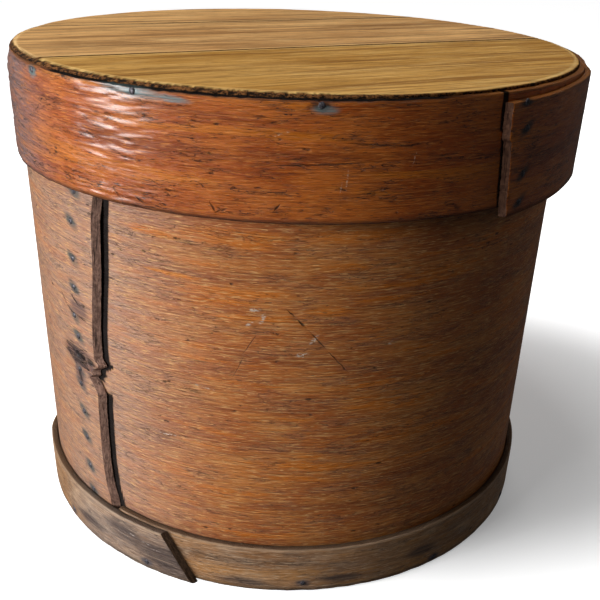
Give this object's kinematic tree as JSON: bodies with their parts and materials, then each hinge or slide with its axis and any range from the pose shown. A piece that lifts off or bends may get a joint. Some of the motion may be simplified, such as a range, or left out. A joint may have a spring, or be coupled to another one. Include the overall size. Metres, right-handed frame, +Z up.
{
  "type": "bentwood box",
  "caption": "Round bentwood box with a lapped and tacked side band, a board bottom, a base hoop and a lift-off board lid with its own lapped band.",
  "frame": {"origin": "on the box's axis, at the face that it stands on", "axes": "+Z up along the axis, -Y towards the front, with the side band's lap at the front left and the lid band's lap at the front right"},
  "size_m": [0.3824, 0.3824, 0.3256],
  "materials": {
    "lid_board_wood": "satin, worn golden brown, straight grain",
    "lid_band_wood": "old red-brown varnish, slightly glossy",
    "side_band_wood": "old orange-brown varnish, satin",
    "hoop_wood": "weathered grey-brown, dull",
    "bottom_wood": "bare aged board, dull",
    "iron": "dark rusted iron"
  },
  "bodies": {
    "box": {"side_band": "side_band_wood", "base_hoop": "hoop_wood", "bottom_board_front": "bottom_wood", "bottom_board_middle": "bottom_wood", "bottom_board_back": "bottom_wood", "side_seam_tacks": "iron", "bottom_nails": "iron"},
    "lid": {"lid_band": "lid_band_wood", "lid_board_front": "lid_board_wood", "lid_board_middle": "lid_board_wood", "lid_board_back": "lid_board_wood", "lid_seam_tacks": "iron", "lid_rim_nails": "iron"}
  },
  "joints": [
    {"name": "lid_lift", "type": "slide", "parent": "box", "child": "lid", "axis": [0, 0, 1], "range_m": [0, 0.3]}
  ]
}
